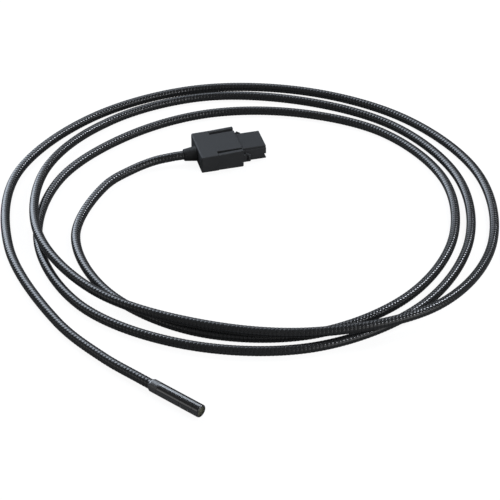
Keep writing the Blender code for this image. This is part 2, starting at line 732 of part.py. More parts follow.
dark_abs = new_material("dark_abs", (0.030, 0.033, 0.037), 0.55)
slate_abs = new_material("slate_abs", (0.034, 0.038, 0.044), 0.50)
black_rubber = new_material("black_rubber", (0.018, 0.018, 0.020), 0.70)
cable_black = new_material("cable_black", (0.012, 0.012, 0.014), 0.40)
wire_jacket = new_material("wire_jacket", (0.10, 0.10, 0.11), 0.60)
gloss_black = new_material("gloss_black", (0.010, 0.010, 0.012), 0.12)
satin_black = new_material("satin_black", (0.025, 0.025, 0.028), 0.45)
window_mineral = new_material("window_mineral", (0.12, 0.12, 0.10), 0.05)
zinc_steel = new_material("zinc_steel", (0.55, 0.55, 0.56), 0.35, 1.0)
gold_plate = new_material("gold_plate", (0.80, 0.58, 0.22), 0.25, 1.0)
ivory_nylon = new_material("ivory_nylon", (0.55, 0.52, 0.44), 0.60)
green_laminate = new_material("green_laminate", (0.02, 0.10, 0.05), 0.45)
chip_epoxy = new_material("chip_epoxy", (0.02, 0.02, 0.022), 0.60)
led_phosphor = new_material("led_phosphor", (0.80, 0.70, 0.25), 0.40)

make_housing()
for latch_side, latch_label in ((1, "left"), (-1, "right")):
    make_latch(latch_side, latch_label)
make_cover()
make_nose()
make_contacts()
make_board()
make_relief()
make_cable()
make_head()
for piece in parts.objects:
    if "turn" in piece.modifiers:
        settle(piece)
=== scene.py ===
import json
import math

import bmesh
import bpy
from mathutils import Matrix, Vector


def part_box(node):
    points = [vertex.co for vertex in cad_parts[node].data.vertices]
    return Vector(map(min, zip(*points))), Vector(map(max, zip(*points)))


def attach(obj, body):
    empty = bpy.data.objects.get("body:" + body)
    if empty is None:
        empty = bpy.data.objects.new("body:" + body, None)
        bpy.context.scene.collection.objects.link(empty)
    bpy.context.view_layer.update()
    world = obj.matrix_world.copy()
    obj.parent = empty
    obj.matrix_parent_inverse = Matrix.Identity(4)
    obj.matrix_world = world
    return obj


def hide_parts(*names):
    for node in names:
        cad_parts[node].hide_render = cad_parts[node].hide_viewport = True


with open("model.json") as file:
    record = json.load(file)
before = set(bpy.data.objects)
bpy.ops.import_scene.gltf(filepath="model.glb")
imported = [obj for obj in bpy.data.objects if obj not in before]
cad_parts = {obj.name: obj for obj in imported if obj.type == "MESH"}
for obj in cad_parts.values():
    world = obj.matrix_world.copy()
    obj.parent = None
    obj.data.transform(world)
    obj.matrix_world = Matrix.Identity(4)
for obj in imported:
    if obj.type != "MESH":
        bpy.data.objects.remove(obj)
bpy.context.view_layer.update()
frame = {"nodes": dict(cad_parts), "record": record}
nodes = frame["nodes"]
print("frame loaded,", len(nodes), "nodes")


# working helpers

touch = 0.0001  # closer than this counts as on a face
straight = 0.9  # an edge leaning this much to an axis counts as running along it
past = 0.001  # how far a small cutter reaches past what it cuts
beyond = 0.05  # past anything on the plug
upright = (0.0, 0.0, 1.0)


def deselectAll():
    if bpy.context.object and bpy.context.object.mode != "OBJECT":
        bpy.ops.object.mode_set(mode="OBJECT")
    bpy.ops.object.select_all(action="DESELECT")


def makeActive(piece):
    deselectAll()
    piece.select_set(True)
    bpy.context.view_layer.objects.active = piece


def nameNew(name):  # names the object that an operator has just added
    piece = bpy.context.object
    piece.name = name
    piece.data.name = name
    return piece


def copyOf(piece, name):
    makeActive(piece)
    bpy.ops.object.duplicate(linked=False)
    return nameNew(name)


def addBlock(name, low, high):  # a block between two corners
    deselectAll()
    low, high = Vector(low), Vector(high)
    bpy.ops.mesh.primitive_cube_add(size=1.0, location=(low + high) / 2, scale=high - low)
    piece = nameNew(name)
    bpy.ops.object.transform_apply(location=True, rotation=True, scale=True)
    return piece


def outwards(start, side):  # low and high end of a reach from one side's face to beyond the plug
    return sorted((start * side, beyond * side))


def editNone(piece, kind):  # edit mode, with nothing selected
    makeActive(piece)
    bpy.ops.object.mode_set(mode="EDIT")
    bpy.ops.mesh.select_mode(type=kind)
    bpy.ops.mesh.select_all(action="DESELECT")


def moveVerts(piece, test, shift):  # shifts the points that pass the test
    editNone(piece, "VERT")
    shape = bmesh.from_edit_mesh(piece.data)
    for point in shape.verts:
        if test(point.co):
            point.select_set(True)
    bmesh.update_edit_mesh(piece.data)
    bpy.ops.transform.translate(value=shift)
    bpy.ops.object.mode_set(mode="OBJECT")


def turnOutward(piece, weld=None):  # joins points that meet, and turns every face outward
    makeActive(piece)
    bpy.ops.object.mode_set(mode="EDIT")
    bpy.ops.mesh.select_all(action="SELECT")
    if weld:
        bpy.ops.mesh.remove_doubles(threshold=weld)
    bpy.ops.mesh.normals_make_consistent(inside=False)
    bpy.ops.object.mode_set(mode="OBJECT")


def applyModifiers(piece):
    makeActive(piece)
    for modifier in list(piece.modifiers):
        bpy.ops.object.modifier_apply(modifier=modifier.name)


def edgeLine(a, b):  # an edge's middle and direction
    return (a + b) / 2, (b - a).normalized()


def roundEdges(piece, rules, segments):  # each edge takes the width of the first rule that it passes
    widest = max(width for width, test in rules)
    weights = piece.data.attributes.new("bevel_weight_edge", "FLOAT", "EDGE")
    places = [v.co for v in piece.data.vertices]
    for edge in piece.data.edges:
        line = edgeLine(places[edge.vertices[0]], places[edge.vertices[1]])
        width = next((width for width, test in rules if test(*line)), 0.0)
        weights.data[edge.index].value = width / widest
    bevel = piece.modifiers.new("rounding", "BEVEL")
    bevel.width = widest
    bevel.segments = segments
    bevel.limit_method = "WEIGHT"
    applyModifiers(piece)
    left = piece.data.attributes.get("bevel_weight_edge")
    if left:
        piece.data.attributes.remove(left)


def softenEdges(piece, width, angle=40.0):  # a fine bevel on every corner
    bevel = piece.modifiers.new("fine edges", "BEVEL")
    bevel.width = width
    bevel.segments = 2
    bevel.limit_method = "ANGLE"
    bevel.angle_limit = math.radians(angle)
    applyModifiers(piece)


def combine(piece, other, operation="DIFFERENCE"):
    boolean = piece.modifiers.new("cut", "BOOLEAN")
    boolean.operation = operation
    boolean.object = other
    applyModifiers(piece)
    bpy.data.objects.remove(other, do_unlink=True)


def drawProfile(name, profile):  # a line of points at (radius, height), in the XZ plane
    deselectAll()
    bpy.ops.mesh.primitive_plane_add(size=0.001)  # merged to its centre below
    piece = nameNew(name)
    bpy.ops.object.mode_set(mode="EDIT")
    bpy.ops.mesh.select_mode(type="VERT")
    bpy.ops.mesh.select_all(action="SELECT")
    bpy.ops.mesh.merge(type="CENTER")
    radius, height = profile[0]
    bpy.ops.transform.translate(value=(radius, 0.0, height))
    for (r1, h1), (r2, h2) in zip(profile, profile[1:]):
        bpy.ops.mesh.extrude_vertices_move(TRANSFORM_OT_translate={"value": (r2 - r1, 0.0, h2 - h1)})
    bpy.ops.object.mode_set(mode="OBJECT")
    return piece


def extrudeOutline(name, outline, start, end):  # an outline in the XZ plane, solid from one Y to another
    piece = drawProfile(name, outline)
    bpy.ops.object.mode_set(mode="EDIT")
    bpy.ops.mesh.select_all(action="SELECT")
    bpy.ops.transform.translate(value=(0.0, start, 0.0))
    bpy.ops.mesh.edge_face_add()
    bpy.ops.mesh.extrude_region_move(TRANSFORM_OT_translate={"value": (0.0, end - start, 0.0)})
    turnOutward(piece)
    return piece


def turnProfile(name, profile, steps, weld=0.000004):  # the profile spun about Z
    piece = drawProfile(name, profile)
    bpy.ops.object.mode_set(mode="EDIT")
    bpy.ops.mesh.select_all(action="SELECT")
    bpy.ops.mesh.spin(steps=steps, angle=2.0 * math.pi, center=(0.0, 0.0, 0.0), axis=upright)
    turnOutward(piece, weld)
    return piece


def roundCorner(radius, height, size, start, end, steps=6):  # points of an arc about a corner's centre
    points = []
    for step in range(steps + 1):
        angle = math.radians(start + (end - start) * step / steps)
        points.append((radius + size * math.cos(angle), height + size * math.sin(angle)))
    return points


def towards(bearing, rise):  # a direction, by its bearing from +Y to +X and its elevation
    bearing, rise = math.radians(bearing), math.radians(rise)
    return Vector((math.sin(bearing) * math.cos(rise), math.cos(bearing) * math.cos(rise),
                   math.sin(rise)))


def stand(piece, place, direction, turn=0.0):  # from standing on Z at the origin to its place
    lean = Vector(direction).to_track_quat("Z", "Y").to_matrix().to_4x4()
    piece.matrix_world = Matrix.Translation(place) @ lean @ Matrix.Rotation(turn, 4, "Z")
    makeActive(piece)
    bpy.ops.object.transform_apply(location=True, rotation=True, scale=True)


def smoothByAngle(piece, degrees):
    makeActive(piece)
    bpy.ops.object.shade_smooth_by_angle(angle=math.radians(degrees))


def shadeFlats(piece):  # smooth bevels beside faces that stay flat
    smoothByAngle(piece, 35.0)
    shading = piece.modifiers.new("flat faces", "WEIGHTED_NORMAL")
    shading.keep_sharp = True
    applyModifiers(piece)


def finishPiece(piece, body, slot, *replaced):
    if not piece.data.materials:
        piece.data.materials.append(materials[slot])
    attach(piece, body)
    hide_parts(*replaced)


# materials

def hexColor(text):  # sRGB hex to linear
    channels = [int(text[i:i + 2], 16) / 255.0 for i in (0, 2, 4)]
    linear = [c / 12.92 if c <= 0.04045 else ((c + 0.055) / 1.055) ** 2.4 for c in channels]
    return (*linear, 1.0)


def grey(value):
    return (value, value, value, 1.0)


def addNode(tree, kind, links=None, values=None, **settings):
    node = tree.nodes.new(kind)
    for name, value in settings.items():
        setattr(node, name, value)
    for socket, value in (values or {}).items():
        node.inputs[socket].default_value = value
    for socket, source in (links or {}).items():
        tree.links.new(source, node.inputs[socket])
    return node


def newMaterial(name, **sockets):  # a Principled material with its plain values set
    material = bpy.data.materials.new(name)
    material.use_nodes = True
    shader = material.node_tree.nodes["Principled BSDF"]
    for socket, value in sockets.items():
        shader.inputs[socket.replace("_", " ")].default_value = value
    return material, material.node_tree, shader


def objectPlace(tree):
    return addNode(tree, "ShaderNodeTexCoord").outputs["Object"]


def noise(tree, place, sizeMm, detail, roughness=0.5):
    node = addNode(tree, "ShaderNodeTexNoise", {"Vector": place},
                   {"Scale": 1000.0 / sizeMm, "Detail": detail, "Roughness": roughness})
    return node.outputs["Fac"]


def ramp(tree, source, low, high, start, end):  # one value below the start, another past the end
    node = addNode(tree, "ShaderNodeValToRGB", {"Fac": source})
    first, last = node.color_ramp.elements
    first.position, last.position = start, end
    first.color, last.color = low, high
    return node.outputs["Color"]


def colorBy(tree, shader, source, dark, light, start=0.3, end=0.7):
    color = ramp(tree, source, hexColor(dark), hexColor(light), start, end)
    tree.links.new(color, shader.inputs["Base Color"])


def roughBy(tree, shader, source, low, high, start=0.3, end=0.7):
    tree.links.new(ramp(tree, source, grey(low), grey(high), start, end), shader.inputs["Roughness"])


def bumpBy(tree, shader, source, strength, distance):
    bump = addNode(tree, "ShaderNodeBump", {"Height": source}, {"Strength": strength, "Distance": distance})
    tree.links.new(bump.outputs["Normal"], shader.inputs["Normal"])


# moulded ABS from a spark-eroded tool: matt slate black, fine even grain, faint cloudy flow marks
def mouldedAbs(name, light, dark, grainMm, roughness, specular):
    material, tree, shader = newMaterial(name, Specular_IOR_Level=specular)
    place = objectPlace(tree)
    grain = noise(tree, place, grainMm, 3.0, 0.6)
    cloud = noise(tree, place, 9.0, 2.0)
    tone = addNode(tree, "ShaderNodeMix", {"Factor": grain, "A": cloud, "B": grain})
    colorBy(tree, shader, tone.outputs["Result"], dark, light)
    roughBy(tree, shader, cloud, roughness - 0.05, roughness + 0.05)
    bumpBy(tree, shader, grain, 0.35, 0.00004)
    return material


# rubber and moulded resin: soft and dull, with a fine dusty mottle
def mouldedRubber(name, light, dark, roughness):
    material, tree, shader = newMaterial(name, Specular_IOR_Level=0.3)
    mottle = noise(tree, objectPlace(tree), 0.5, 4.0)
    colorBy(tree, shader, mottle, dark, light)
    roughBy(tree, shader, mottle, roughness - 0.08, roughness + 0.08, 0.2, 0.8)
    bumpBy(tree, shader, mottle, 0.2, 0.00005)
    return material


# black coated steel gooseneck: semi-gloss on the rib crests and duller down in the grooves, where the base
# colour goes darker as painted shade
def coatedGooseneck():
    material, tree, shader = newMaterial("coatedGooseneck", Specular_IOR_Level=0.8)
    crest = addNode(tree, "ShaderNodeAttribute", attribute_name="crest").outputs["Fac"]
    wear = noise(tree, objectPlace(tree), 12.0, 3.0)
    # painted shade: the base colour falls to near black down in the grooves and lightens towards the crests
    colorBy(tree, shader, crest, "060606", "1d1e1f", 0.0, 0.6)
    gloss = ramp(tree, crest, grey(0.40), grey(0.16), 0.0, 0.6)
    worn = addNode(tree, "ShaderNodeMath", {0: wear}, {1: 0.08}, operation="MULTIPLY")
    total = addNode(tree, "ShaderNodeMath", {0: gloss, 1: worn.outputs["Value"]}, operation="ADD")
    tree.links.new(total.outputs["Value"], shader.inputs["Roughness"])
    return material


# polished black tube under a hard gloss lacquer: deep black, strong clean reflections, a faint haze
def polishedBlack():
    material, tree, shader = newMaterial("polishedBlack", Specular_IOR_Level=1.0, Coat_Weight=1.0,
                                         Coat_IOR=1.9, Coat_Roughness=0.12)
    haze = noise(tree, objectPlace(tree), 1.5, 4.0)
    colorBy(tree, shader, haze, "08080a", "0c0c0f")
    roughBy(tree, shader, haze, 0.14, 0.20)
    return material


# the same black blasted before the lacquer: an even satin dark grey with a broad soft sheen
def satinBlack():
    material, tree, shader = newMaterial("satinBlack", Specular_IOR_Level=1.0, Coat_Weight=1.0,
                                         Coat_IOR=1.7, Coat_Roughness=0.40)
    blast = noise(tree, objectPlace(tree), 0.12, 2.0)
    colorBy(tree, shader, blast, "222223", "2a2a2b")
    roughBy(tree, shader, blast, 0.38, 0.48)
    bumpBy(tree, shader, blast, 0.25, 0.00002)
    return material


# smoked mineral glass: clear polish over an olive tint, with a diffuse share that lightens the window as a
# painted reflection, so what is behind it only just shows
def smokedGlass():
    # painted reflection: the share that is not transmitted shows the pale olive base colour as a diffuse
    # lightening of the window
    material, tree, shader = newMaterial("smokedGlass", Transmission_Weight=0.82, IOR=1.52)
    smear = noise(tree, objectPlace(tree), 2.0, 2.0)
    colorBy(tree, shader, smear, "8b8c74", "949580")
    roughBy(tree, shader, smear, 0.02, 0.05)
    return material


# a plated or bare metal: bright, with a fine grain of uneven gloss
def platedMetal(name, light, dark, grainMm, roughness):
    material, tree, shader = newMaterial(name, Metallic=1.0)
    grain = noise(tree, objectPlace(tree), grainMm, 3.0)
    colorBy(tree, shader, grain, dark, light)
    roughBy(tree, shader, grain, roughness - 0.06, roughness + 0.06)
    return material


# circuit board laminate: green solder mask over a woven glass cloth that shows as a faint grid
def boardLaminate():
    material, tree, shader = newMaterial("boardLaminate", Roughness=0.35)
    place = objectPlace(tree)
    weave = addNode(tree, "ShaderNodeTexChecker", {"Vector": place}, {"Scale": 1000.0 / 0.4})
    cloud = noise(tree, place, 1.2, 2.0)
    tone = addNode(tree, "ShaderNodeMix", {"A": cloud, "B": weave.outputs["Fac"]}, {"Factor": 0.3})
    colorBy(tree, shader, tone.outputs["Result"], "164a2c", "1f6038", 0.2, 0.8)
    return material


materials = {
    "dark_abs": mouldedAbs("slateAbs", "323334", "2c2d2e", 0.22, 0.55, 0.22),
    "slate_abs": mouldedAbs("noseAbs", "373839", "313233", 0.25, 0.55, 0.12),
    "black_rubber": mouldedRubber("blackRubber", "1e1f1f", "171718", 0.6),
    "cable_black": coatedGooseneck(),
    "wire_jacket": mouldedRubber("wireJacket", "5c5d60", "505154", 0.6),
    "gloss_black": polishedBlack(),
    "satin_black": satinBlack(),
    "window_mineral": smokedGlass(),
    "zinc_steel": platedMetal("zincSteel", "c9cace", "b4b5ba", 0.15, 0.32),
    "gold_plate": platedMetal("goldPlate", "e6c274", "d8b05c", 0.2, 0.22),
    "ivory_nylon": mouldedRubber("ivoryNylon", "d0c9b4", "c2bba6", 0.5),
    "green_laminate": boardLaminate(),
    "chip_epoxy": mouldedRubber("chipEpoxy", "26262a", "1f1f22", 0.55),
    "led_phosphor": mouldedRubber("phosphor", "e8d76a", "d8c552", 0.45),
}
bareAluminium = platedMetal("bareAluminium", "dcdde0", "c6c7cb", 0.1, 0.22)
for subpart in frame["record"]["subparts"]:
    slots = nodes[subpart["node"]].data.materials
    slots.clear()
    slots.append(materials[subpart["material_slot"]])
print("materials ready")


# camera, at the photograph's angle
view = {
    "bearing": 195.0,
    "elevation": 37.0,
    "target": (-0.0060, -0.1147, 0.0),
    "distance": 1.1309,
    "lens": 121.18,
    "shift": (-0.0005, 0.0011),
    "clipEnd": 50.0,
}
back = towards(view["bearing"], view["elevation"])
bpy.ops.object.camera_add(location=Vector(view["target"]) + back * view["distance"],
                          rotation=back.to_track_quat("Z", "Y").to_euler())
camera = bpy.context.object
camera.data.lens = view["lens"]
camera.data.shift_x, camera.data.shift_y = view["shift"]
camera.data.clip_end = view["clipEnd"]
bpy.context.scene.camera = camera
print("camera placed")


# the cable: a wound gooseneck along its laid route
cable = {
    "diameter": 0.0065,
    "ribPitch": 0.0025,
    "ribDepth": 0.00012,
    "ribSteps": 4,
    "sides": 18,
    "weld": 0.00001,
    "grooveCrest": 0.1,  # below this crest an edge is down in a groove
    "lineStep": 0.002,
    "boot": (-0.0253, 0.0, 0.0062),  # where it meets the strain relief
    "intoBoot": 0.0035,
    "lead": ((-0.046, 0.0, 0.0050), (-0.064, -0.005, 0.0036)),
    "coilCentre": (0.006, -0.0725),
    "firstBearing": 150.0,
    "bearingStep": 30.0,
    "coilRadii": (
        0.1065, 0.123, 0.1315, 0.137, 0.1405, 0.1405, 0.1405, 0.141, 0.1365, 0.128, 0.1265, 0.129,
        0.140, 0.1485, 0.153, 0.151, 0.153, 0.153, 0.1515, 0.1515, 0.149, 0.1455, 0.1505, 0.1535,
        0.151, 0.148, 0.142, 0.1375, 0.147, 0.1645, 0.167, 0.167, 0.1625, 0.1595, 0.1625, 0.1665,
        0.172, 0.1685, 0.174,
    ),
    "humpStart": 845.0,  # bearings between which it lies over the loop below
    "humpEnd": 1015.0,
    "humpRamp": 35.0,
    "humpLift": 0.0071,
    "tail": ((-0.123, -0.2015, 0.0034),),
    "intoCollar": 0.0030,
    "wireRadius": 0.0010,
    "wireEnd": 0.0132,  # from the head's rear
}
head = {
    "rear": (-0.1000, -0.2342, 0.0041),
    "bearing": 143.0,
    "gap": 0.0003,
    "radius": 0.0041,
}
headAxis = towards(head["bearing"], 0.0)


def ease(share):
    share = min(max(share, 0.0), 1.0)
    return share * share * (3.0 - 2.0 * share)


def routePoints():
    radius = cable["diameter"] / 2
    start = Vector(cable["boot"])
    points = [start, start - Vector((cable["diameter"], 0.0, 0.0))]
    points += [Vector(point) for point in cable["lead"]]
    for index, reach in enumerate(cable["coilRadii"]):
        bearing = cable["firstBearing"] + cable["bearingStep"] * index
        lift = ease((bearing - cable["humpStart"]) / cable["humpRamp"])
        lift -= ease((bearing - cable["humpEnd"]) / cable["humpRamp"])
        turn = math.radians(bearing)
        points.append(Vector((cable["coilCentre"][0] + reach * math.cos(turn),
                              cable["coilCentre"][1] + reach * math.sin(turn),
                              radius + cable["humpLift"] * lift)))
    points += [Vector(point) for point in cable["tail"]]
    end = Vector(head["rear"]) - headAxis * head["gap"]
    return points + [end - headAxis * cable["diameter"], end]


def smoothLine(points, samples=40):  # a centripetal curve through the points
    ends = [points[0] * 2 - points[1]] + points + [points[-1] * 2 - points[-2]]
    line = []
    for a, b, c, d in zip(ends, ends[1:], ends[2:], ends[3:]):
        ab, bc, cd = ((q - p).length ** 0.5 for p, q in ((a, b), (b, c), (c, d)))
        leave = (c - b) + bc * ((b - a) / ab - (c - a) / (ab + bc))
        arrive = (c - b) + bc * ((d - c) / cd - (d - b) / (bc + cd))
        for step in range(samples):
            t = step / samples
            line.append((2 * (b - c) + leave + arrive) * t ** 3
                        + (3 * (c - b) - 2 * leave - arrive) * t ** 2 + leave * t + b)
    return line + [points[-1]]


def cableLine(rounding=1e-9):  # evenly spaced points from inside the boot to inside the collar
    points = routePoints()
    rough = smoothLine(points[1:-1])
    for point in rough:  # it never sinks into the floor
        point.z = max(point.z, cable["diameter"] / 2)
    rough.insert(0, points[0] + Vector((cable["intoBoot"], 0.0, 0.0)))
    rough.append(points[-1] + headAxis * cable["intoCollar"])
    total = sum((q - p).length for p, q in zip(rough, rough[1:]))
    step = total / round(total / cable["lineStep"])
    line = [rough[0]]
    walked = 0.0
    for p, q in zip(rough, rough[1:]):
        gap = (q - p).length
        while walked + gap >= step * len(line) - rounding:
            line.append(p.lerp(q, (step * len(line) - walked) / gap))
        walked += gap
    return line, total


def drawRoute(name, line):
    deselectAll()
    bpy.ops.curve.primitive_bezier_curve_add()
    route = nameNew(name)
    route.data.dimensions = "3D"
    route.data.twist_mode = "Z_UP"
    route.data.splines.clear()
    spline = route.data.splines.new("POLY")
    spline.points.add(len(line) - 1)
    for point, place in zip(spline.points, line):
        point.co = (*place, 1.0)
    return route


def makeCable():
    line, length = cableLine()
    route = drawRoute("cableRoute", line)
    ribs = round(length / cable["ribPitch"])
    pitch = length / ribs
    radius = cable["diameter"] / 2
    profile = []  # one rib: a low round crest between two sharp grooves
    for step in range(cable["ribSteps"] + 1):
        share = step / cable["ribSteps"]
        profile.append((radius - cable["ribDepth"] * (2.0 * share - 1.0) ** 2, share * pitch))
    piece = drawProfile("ribbedCable", profile)
    screw = piece.modifiers.new("winding", "SCREW")
    screw.steps = screw.render_steps = cable["sides"]
    screw.screw_offset = pitch
    screw.iterations = ribs
    applyModifiers(piece)
    turnOutward(piece, cable["weld"])
    crest = piece.data.attributes.new("crest", "FLOAT", "POINT")  # 0 in a groove, 1 on a rib
    for vertex, value in zip(piece.data.vertices, crest.data):
        value.value = 1.0 - (radius - vertex.co.xy.length) / cable["ribDepth"]
    for edge in piece.data.edges:
        highest = max(crest.data[index].value for index in edge.vertices)
        edge.use_edge_sharp = highest < cable["grooveCrest"]
    follow = piece.modifiers.new("route", "CURVE")
    follow.object = route
    follow.deform_axis = "POS_Z"
    applyModifiers(piece)
    bpy.data.objects.remove(route, do_unlink=True)
    editNone(piece, "EDGE")
    bpy.ops.mesh.select_non_manifold()
    bpy.ops.mesh.fill_holes(sides=0)
    turnOutward(piece)
    smoothByAngle(piece, 30.0)
    finishPiece(piece, "probe", "cable_black", "gooseneck_cable")
    print("cable %.3f m, %d ribs, %d faces" % (length, ribs, len(piece.data.polygons)))


def makeWires():  # the bundle inside the cable, from the plug's board to the sensor's
    line = cableLine()[0]
    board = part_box("plug_board")[0].x - head["gap"]
    line.insert(0, Vector((board, line[0].y, line[0].z)))
    line.append(Vector(head["rear"]) + headAxis * cable["wireEnd"])
    wires = drawRoute("wireBundle", line)
    wires.data.bevel_depth = cable["wireRadius"]
    wires.data.bevel_resolution = 2
    wires.data.use_fill_caps = True
    makeActive(wires)
    bpy.ops.object.convert(target="MESH")
    smoothByAngle(wires, 50.0)
    finishPiece(wires, "probe", "wire_jacket", "wire_bundle")


makeCable()
makeWires()


# plug shell: one moulded half box, open below, with a slot down each side for its latch
plug = {
    "rearHeight": 0.0127,
    "topRound": 0.0012,
    "rearCorner": 0.0010,
    "sideEdge": 0.0005,
    "fineEdge": 0.0003,
    "cutEdge": 0.00012,
    "upper": 0.011,  # only the edges of the top lie above this
    "wall": 0.0020,
    "cavityWidth": 0.0180,
    "cavityTop": 0.0110,
    "latchRoot": -0.0030,
    "slotRoot": 0.0112,
    "slotTip": 0.0117,
    "slotPast": 0.0004,
    "axisHeight": 0.0062,
    "reliefHole": 0.0038,
    "holeSides": 64,
    "screwPlace": (-0.0106, 0.0065),
    "bossRadius": 0.0016,
    "bossBore": 0.0009,
    "bossSides": 32,
    "bossOverlap": 0.0003,  # up into the top wall
    "coverTop": 0.0018,
}
plugLow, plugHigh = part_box("plug_housing")


def plugTop(x):
    share = (x - plugLow.x) / (plugHigh.x - plugLow.x)
    return plug["rearHeight"] + (plugHigh.z - plug["rearHeight"]) * share


def makeShell():
    shell = addBlock("plugShell", plugLow, plugHigh)
    moveVerts(shell, lambda place: place.x < 0.0 and place.z > touch,
              (0.0, 0.0, plug["rearHeight"] - plugHigh.z))
    atRear = plugLow.x + touch
    roundEdges(shell, [
        (plug["topRound"], lambda place, along: place.x < atRear and place.z > plug["upper"]),
        (plug["rearCorner"], lambda place, along: place.x < atRear and abs(along.z) > straight),
        (plug["sideEdge"], lambda place, along: place.z > plug["upper"] and abs(along.x) > straight),
        (plug["fineEdge"], lambda place, along: True),
    ], segments=8)
    halfCavity = plug["cavityWidth"] / 2
    combine(shell, addBlock("cavity", (plugLow.x + plug["wall"], -halfCavity, -beyond),
                            (beyond, halfCavity, plug["cavityTop"])))
    for side in (1, -1):
        near, far = outwards(plug["slotTip"], side)
        pocket = addBlock("pocket", (plug["latchRoot"], near, -beyond),
                          (plugHigh.x + plug["slotPast"], far, beyond))
        moveVerts(pocket, lambda place: place.x < 0.0 and abs(place.y) < beyond / 2,
                  (0.0, (plug["slotRoot"] - plug["slotTip"]) * side, 0.0))
        combine(shell, pocket)
    deselectAll()
    bpy.ops.mesh.primitive_cylinder_add(vertices=plug["holeSides"], radius=plug["reliefHole"],
                                        depth=4 * plug["wall"],
                                        location=(plugLow.x, 0.0, plug["axisHeight"]),
                                        rotation=(0.0, math.pi / 2, 0.0))
    combine(shell, bpy.context.object)
    x, y = plug["screwPlace"]
    bossTop = plug["cavityTop"] + plug["bossOverlap"]
    profile = [(plug["bossBore"], plug["coverTop"]), (plug["bossRadius"], plug["coverTop"]),
               (plug["bossRadius"], bossTop), (plug["bossBore"], bossTop),
               (plug["bossBore"], plug["coverTop"])]
    for side in (1, -1):
        boss = turnProfile("boss", profile, plug["bossSides"])
        stand(boss, (x, y * side, 0.0), upright)
        combine(shell, boss, "UNION")
    softenEdges(shell, plug["cutEdge"])
    shadeFlats(shell)
    finishPiece(shell, "probe", "dark_abs", "plug_housing")


makeShell()
print("plug shell made")


# latch arms: a side wall of the plug that bends in at its tip, with a low hook beside the nose
latch = {
    "rootOuter": -0.00295,
    "rootInner": -0.0027,
    "thickness": 0.0028,
    "bottom": 0.0003,
    "tipTop": 0.0138,
    "topEdge": 0.00035,
    "tipEdge": 0.0005,
    "toeRound": 0.0011,
    "hook": ((0.0140, 0.0030), (0.0211, 0.0030), (0.0211, 0.0082), (0.0181, 0.0100), (0.0175, 0.0089),
             (0.0140, 0.0089)),
    "hookSides": (-0.0155, -0.0139),
    "hookEdge": 0.0003,
    "slot": ((0.0180, -0.0160, 0.0042), (0.0189, -0.0130, 0.0083)),
    "peg": ((0.0191, -0.0163, 0.0034), (0.0207, -0.0145, 0.0080)),
    "pegRound": 0.0005,
    "cutEdge": 0.0001,
}


def makeLatches():
    outer = plugLow.y
    inner = outer + latch["thickness"]
    rootTop = plugTop(latch["rootOuter"])
    arm = addBlock("latchRight", (latch["rootOuter"], outer, latch["bottom"]), (plugHigh.x, inner, rootTop))
    moveVerts(arm, lambda place: place.x > 0.0 and place.z > plug["upper"],
              (0.0, 0.0, latch["tipTop"] - rootTop))
    moveVerts(arm, lambda place: place.x < 0.0 and place.y > outer + touch,
              (latch["rootInner"] - latch["rootOuter"], 0.0, 0.0))
    atTip = plugHigh.x - touch
    roundEdges(arm, [
        (latch["toeRound"], lambda place, along: place.x > atTip and place.z < latch["bottom"] + touch),
        (latch["tipEdge"], lambda place, along: place.x > atTip),
        (plug["sideEdge"], lambda place, along: place.z > plug["upper"] and place.y < outer + touch),
        (latch["topEdge"], lambda place, along: place.z > plug["upper"] and abs(along.x) > straight),
        (plug["fineEdge"], lambda place, along: abs(along.x) > straight),
    ], segments=5)
    hook = extrudeOutline("hook", latch["hook"], *latch["hookSides"])
    roundEdges(hook, [(latch["hookEdge"], lambda place, along: True)], segments=3)
    combine(arm, hook, "UNION")
    peg = addBlock("hookPeg", *latch["peg"])
    roundEdges(peg, [(latch["pegRound"], lambda place, along: True)], segments=4)
    combine(arm, peg, "UNION")
    combine(arm, addBlock("hookSlot", *latch["slot"]))
    softenEdges(arm, latch["cutEdge"])
    other = copyOf(arm, "latchLeft")
    other.scale = (1.0, -1.0, 1.0)
    bpy.ops.object.transform_apply(location=True, rotation=True, scale=True)
    turnOutward(other)
    shadeFlats(arm)
    shadeFlats(other)
    finishPiece(arm, "latch_right", "dark_abs", "latch_arm_right")
    finishPiece(other, "latch_left", "dark_abs", "latch_arm_left")


makeLatches()
print("latches made")


# connector nose: a shroud with a ledge along its top edges, a groove low on each side and an open mouth
nose = {
    "root": 0.01552,
    "bottom": 0.0009,
    "top": 0.0112,
    "edge": 0.0003,
    "ledge": (0.0101, 0.0097),  # inner side and height of the step along the top edges
    "ledgeRound": 0.0004,
    "ledgeCrease": 0.00005,
    "groove": (0.0016, 0.0049),
    "grooveDepth": 0.0010,
    "grooveStart": 0.0211,
    "setback": 0.0011,
    "mouthDepth": 0.0082,
    "mouthWidth": 0.0168,
    "mouth": (0.0022, 0.0097),
    "passageWidth": 0.0144,
    "passage": (0.0032, 0.0092),
    "tenon": ((0.0105, -0.0087, 0.0018), (0.0162, 0.0087, 0.0107)),
    "cutEdge": 0.00018,
}


